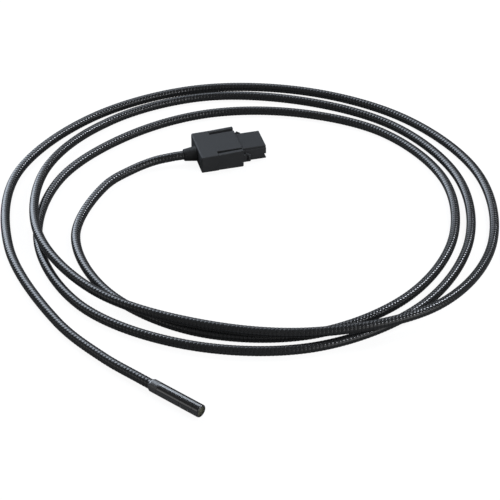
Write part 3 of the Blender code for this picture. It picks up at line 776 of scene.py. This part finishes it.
def makeNose():
    tip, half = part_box("connector_nose")[1].xy
    inner, step = nose["ledge"]
    shroud = addBlock("noseShroud", (nose["root"], -half, nose["bottom"]), (tip, half, nose["top"]))
    for side in (1, -1):
        near, far = outwards(inner, side)
        combine(shroud, addBlock("ledge", (-beyond, near, step), (beyond, far, beyond)))

    def onLedge(place):
        return abs(place.z - step) < touch

    roundEdges(shroud, [
        (nose["ledgeRound"], lambda place, along: onLedge(place) and abs(place.y) > half - touch),
        (nose["ledgeCrease"], lambda place, along: onLedge(place) and abs(place.y) < inner + touch),
        (nose["edge"], lambda place, along: True),
    ], segments=4)
    combine(shroud, addBlock("tenon", *nose["tenon"]), "UNION")
    for name, start in (("passage", 0.0), ("mouth", tip - nose["mouthDepth"])):
        reach = nose[name + "Width"] / 2
        low, high = nose[name]
        combine(shroud, addBlock(name, (start, -reach, low), (beyond, reach, high)))
    low, high = nose["groove"]
    for side in (1, -1):
        near, far = outwards(half - nose["grooveDepth"], side)
        combine(shroud, addBlock("groove", (nose["grooveStart"], near, low), (beyond, far, high)))
    combine(shroud, addBlock("frontGroove", (tip - nose["setback"], -beyond, low), (beyond, beyond, high)))
    softenEdges(shroud, nose["cutEdge"])
    shadeFlats(shroud)
    finishPiece(shroud, "probe", "slate_abs", "connector_nose")


makeNose()
print("nose made")


# strain relief: a tapered boot with a rolled rim, a neck through the plug's wall and a flange behind it
boot = {
    "length": 0.0095,
    "smallRadius": 0.0044,
    "largeRadius": 0.0055,
    "rim": 0.0009,
    "lip": 0.0003,
    "foot": 0.0004,
    "cableBore": 0.00330,
    "cableSeat": 0.0050,
    "wireBore": 0.0016,
    "neckRadius": 0.0035,
    "neck": 0.0023,
    "flangeRadius": 0.0042,
    "flange": 0.0016,
    "sides": 64,
}


def makeBoot():
    end = boot["length"]
    seat = end - boot["cableSeat"]
    neckEnd = -boot["neck"]
    flangeEnd = neckEnd - boot["flange"]
    lip = (boot["cableBore"], end - boot["lip"])
    profile = [lip]
    profile += roundCorner(boot["smallRadius"] - boot["rim"], end - boot["rim"], boot["rim"], 100.0, 0.0)
    profile += roundCorner(boot["largeRadius"] - boot["foot"], boot["foot"], boot["foot"], 7.0, -90.0)
    profile += [(boot["neckRadius"], 0.0), (boot["neckRadius"], neckEnd), (boot["flangeRadius"], neckEnd),
                (boot["flangeRadius"], flangeEnd), (boot["wireBore"], flangeEnd), (boot["wireBore"], seat),
                (boot["cableBore"], seat), lip]
    relief = turnProfile("cableBoot", profile, boot["sides"])
    stand(relief, (plugLow.x, 0.0, plug["axisHeight"]), (-1.0, 0.0, 0.0))
    shadeFlats(relief)
    finishPiece(relief, "probe", "black_rubber", "strain_relief")


makeBoot()
print("boot made")


# bottom cover with two sunk cross-head screws
cover = {
    "edge": 0.00025,
    "holeRadius": 0.0017,
    "holeTop": 0.003,
    "sink": 0.0004,
    "sides": 48,
    "screwRadius": 0.0014,
    "screwRound": 0.0004,
    "screwBottom": 0.0003,
    "screwTop": 0.0012,
    "screwTurns": (0.6, 0.2),
    "shankRadius": 0.0006,
    "shankTip": 0.0070,
    "crossLength": 0.0015,
    "crossWidth": 0.0004,
    "crossDepth": 0.0005,
}


def makeCover():
    low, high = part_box("bottom_cover")
    x, y = plug["screwPlace"]
    plate = addBlock("coverPlate", low, high)
    roundEdges(plate, [(cover["edge"], lambda place, along: place.z < low.z + touch)], segments=3)
    sunk = cover["holeRadius"] + cover["sink"]
    profile = [(0.0, -past), (sunk, -past), (sunk, 0.0), (cover["holeRadius"], cover["sink"]),
               (cover["holeRadius"], cover["holeTop"]), (0.0, cover["holeTop"])]
    for side in (1, -1):
        hole = turnProfile("screwHole", profile, cover["sides"])
        stand(hole, (x, y * side, 0.0), upright)
        combine(plate, hole)
    shadeFlats(plate)
    finishPiece(plate, "probe", "dark_abs", "bottom_cover")

    bottom, turned = cover["screwBottom"], cover["screwRound"]
    profile = [(0.0, cover["shankTip"]), (cover["shankRadius"], cover["shankTip"] - cover["shankRadius"]),
               (cover["shankRadius"], cover["screwTop"]), (cover["screwRadius"], cover["screwTop"])]
    profile += roundCorner(cover["screwRadius"] - turned, bottom + turned, turned, 0.0, -90.0)
    profile.append((0.0, bottom))
    screw = turnProfile("coverScrew1", profile, cover["sides"])
    cross = (cover["crossLength"] / 2, cover["crossWidth"] / 2)
    for reach, half in (cross, cross[::-1]):
        combine(screw, addBlock("cross", (-reach, -half, -past), (reach, half, bottom + cover["crossDepth"])))
    smoothByAngle(screw, 35.0)
    second = copyOf(screw, "coverScrew2")
    firstTurn, secondTurn = cover["screwTurns"]
    stand(screw, (x, y, 0.0), upright, firstTurn)
    stand(second, (x, -y, 0.0), upright, secondTurn)
    finishPiece(screw, "probe", "zinc_steel", "cover_screw_1")
    finishPiece(second, "probe", "zinc_steel", "cover_screw_2")


makeCover()
print("cover and screws made")


# camera head: turned pieces on one axis, from the collar at the cable to the window
head.update({
    "collarEnd": 0.0070,
    "collarRear": 0.0034,
    "collarChamfer": 0.0014,
    "collarEdge": 0.00005,
    "cableBore": 0.00331,
    "cableSeat": 0.0034,
    "wireBore": 0.0016,
    "spigotRadius": 0.0033,
    "spigotEnd": 0.0112,
    "sealGroove": (0.0084, 0.0098, 0.0023),
    "bore": 0.0036,
    "seam": 0.0248,
    "ringStart": 0.0345,
    "length": 0.0394,
    "ringRound": 0.0009,
    "sight": 0.0030,
    "sightRound": 0.0002,
    "windowFront": 0.0387,
    "windowGap": 0.0001,
    "windowThickness": 0.0008,
    "windowRadius": 0.0033,
    "windowEdge": 0.0001,
    "line": 0.00006,  # half the width of the fine line between two pieces
    "edge": 0.00010,
    "edgeAngle": 20.0,
    "holes": (0.0268, 0.0322),
    "holeTurn": 180.0,
    "holeRadius": 0.00040,
    "holeRound": 0.00035,
    "holeSides": 32,
    "sides": 128,
})


def finishTurned(piece, slot, node):
    stand(piece, head["rear"], headAxis)
    shadeFlats(piece)
    finishPiece(piece, "probe", slot, node)


def turnTube(name, start, end):  # a length of the head's wall, from one fine line to the next
    start, end = start + head["line"], end - head["line"]
    inner, outer = head["bore"], head["radius"]
    piece = turnProfile(name, [(inner, start), (outer, start), (outer, end), (inner, end), (inner, start)],
                        head["sides"])
    softenEdges(piece, head["edge"], head["edgeAngle"])
    return piece


def drillHoles(barrel):  # bright inside, with a rounded mouth
    barrel.data.materials.append(materials["gloss_black"])
    barrel.data.materials.append(bareAluminium)
    turn = math.radians(head["holeTurn"])
    radius, bend = head["radius"], head["holeRound"]
    mouth = head["holeRadius"] + bend
    profile = [(0.0, head["bore"] - past), (head["holeRadius"], head["bore"] - past)]
    profile += roundCorner(mouth, radius - bend, bend, 180.0, 90.0)
    profile += [(mouth, radius + past), (0.0, radius + past)]
    for height in head["holes"]:
        drill = turnProfile("drill", profile, head["holeSides"])
        for material in barrel.data.materials:
            drill.data.materials.append(material)
        for face in drill.data.polygons:
            face.material_index = 1
        stand(drill, (0.0, 0.0, height), (math.cos(turn), math.sin(turn), 0.0))
        combine(barrel, drill)


def makeHead():
    radius, line, bore = head["radius"], head["line"], head["bore"]
    grooveStart, grooveEnd, grooveRadius = head["sealGroove"]
    spigot, spigotEnd = head["spigotRadius"], head["spigotEnd"]
    shoulder = head["collarEnd"] - line
    collar = turnProfile("headCollar", [
        (head["cableBore"], 0.0), (head["collarRear"], 0.0), (radius, head["collarChamfer"]),
        (radius, shoulder), (spigot, shoulder), (spigot, grooveStart), (grooveRadius, grooveStart),
        (grooveRadius, grooveEnd), (spigot, grooveEnd), (spigot, spigotEnd), (head["wireBore"], spigotEnd),
        (head["wireBore"], head["cableSeat"]), (head["cableBore"], head["cableSeat"]),
        (head["cableBore"], 0.0)], head["sides"])
    softenEdges(collar, head["collarEdge"], head["edgeAngle"])
    finishTurned(collar, "satin_black", "rear_collar")

    finishTurned(turnTube("headSleeve", head["collarEnd"], head["seam"]), "gloss_black", "head_sleeve")

    barrel = turnTube("frontBarrel", head["seam"], head["ringStart"])
    drillHoles(barrel)
    finishTurned(barrel, "gloss_black", "front_barrel")

    front = head["windowFront"]
    seat = (head["sight"], front + head["windowGap"])
    start, end = head["ringStart"] + line, head["length"]
    small, large = head["sightRound"], head["ringRound"]
    profile = [seat]
    profile += roundCorner(head["sight"] + small, end - small, small, 180.0, 90.0, 3)
    profile += roundCorner(radius - large, end - large, large, 90.0, 0.0, 10)
    profile += [(radius, start), (bore, start), (bore, seat[1]), seat]
    finishTurned(turnProfile("noseRing", profile, head["sides"]), "gloss_black", "nose_ring")

    rear = front - head["windowThickness"]
    glass, edge = head["windowRadius"], head["windowEdge"]
    profile = [(0.0, front), (glass - edge, front), (glass, front - edge), (glass, rear + edge),
               (glass - edge, rear), (0.0, rear)]
    finishTurned(turnProfile("frontWindow", profile, head["sides"]), "window_mineral", "window_glass")


makeHead()
print("head made")


# floor and light
studio = {
    "floorSize": 40.0,
    "floorDrop": 0.0001,
    "floorGlow": 0.91,  # white to the camera, with room left for the shadow
    "mirrorGlow": 0.03,  # far less in reflections, so that the gloss stays dark below
    "floorTone": 0.13,
    "worldTone": 0.09,
    "aim": (0.0, -0.08, 0.0),
    "lamps": (  # name, bearing from +Y to +X, elevation, distance, width, height, radiance, colour
        ("mainSoftbox", -27.0, 31.0, 1.3, 0.70, 1.35, 5.0, "e6f1ff"),
        ("topSoftbox", 6.0, 45.0, 1.25, 0.65, 0.65, 1.8, "eaf3ff"),
        ("rightSpot", 68.0, 45.0, 1.4, 0.24, 0.40, 24.0, "eef4ff"),
        ("frontFill", 168.0, 32.0, 1.5, 2.60, 1.50, 1.55, "fbfbff"),
        ("leftFill", -95.0, 18.0, 1.4, 0.90, 0.50, 0.4, "ffffff"),
        ("lowFill", 143.0, 13.0, 1.5, 1.50, 0.66, 0.9, "ffffff"),
        ("frontSpot", 140.0, 40.0, 1.4, 0.20, 0.20, 14.0, "f4f8ff"),
    ),
    "flagged": ("frontFill",),  # lifts the shaded sides without showing in the gloss
}


def makeFloor():
    deselectAll()
    bpy.ops.mesh.primitive_plane_add(size=studio["floorSize"], location=(0.0, 0.0, -studio["floorDrop"]))
    floor = nameNew("studioFloor")
    material, tree, shader = newMaterial("studioFloor", Roughness=1.0, Specular_IOR_Level=0.0)
    shader.inputs["Base Color"].default_value = grey(studio["floorTone"])
    rays = addNode(tree, "ShaderNodeLightPath").outputs
    seen = addNode(tree, "ShaderNodeMath", {0: rays["Is Camera Ray"], 1: rays["Is Transmission Ray"]},
                   operation="ADD", use_clamp=True)
    seen = addNode(tree, "ShaderNodeMath", {0: seen.outputs["Value"]}, {1: studio["floorGlow"]},
                   operation="MULTIPLY")
    glow = addNode(tree, "ShaderNodeMath", {0: rays["Is Glossy Ray"], 2: seen.outputs["Value"]},
                   {1: studio["mirrorGlow"]}, operation="MULTIPLY_ADD")
    shader.inputs["Emission Color"].default_value = grey(1.0)
    tree.links.new(glow.outputs["Value"], shader.inputs["Emission Strength"])
    floor.data.materials.append(material)


def makeLights():
    world = bpy.data.worlds.new("studioWorld")
    world.use_nodes = True
    world.node_tree.nodes["Background"].inputs["Color"].default_value = grey(studio["worldTone"])
    bpy.context.scene.world = world
    for name, bearing, rise, distance, width, height, radiance, color in studio["lamps"]:
        toLamp = towards(bearing, rise)
        bpy.ops.object.light_add(type="AREA", location=Vector(studio["aim"]) + toLamp * distance,
                                 rotation=toLamp.to_track_quat("Z", "Y").to_euler())
        lamp = nameNew(name)
        lamp.data.shape = "RECTANGLE"
        lamp.data.size = width
        lamp.data.size_y = height
        lamp.data.energy = radiance * math.pi * width * height
        lamp.data.color = hexColor(color)[:3]
        lamp.visible_glossy = name not in studio["flagged"]
    bpy.context.scene.view_settings.view_transform = "Standard"


makeFloor()
makeLights()
print("studio ready")
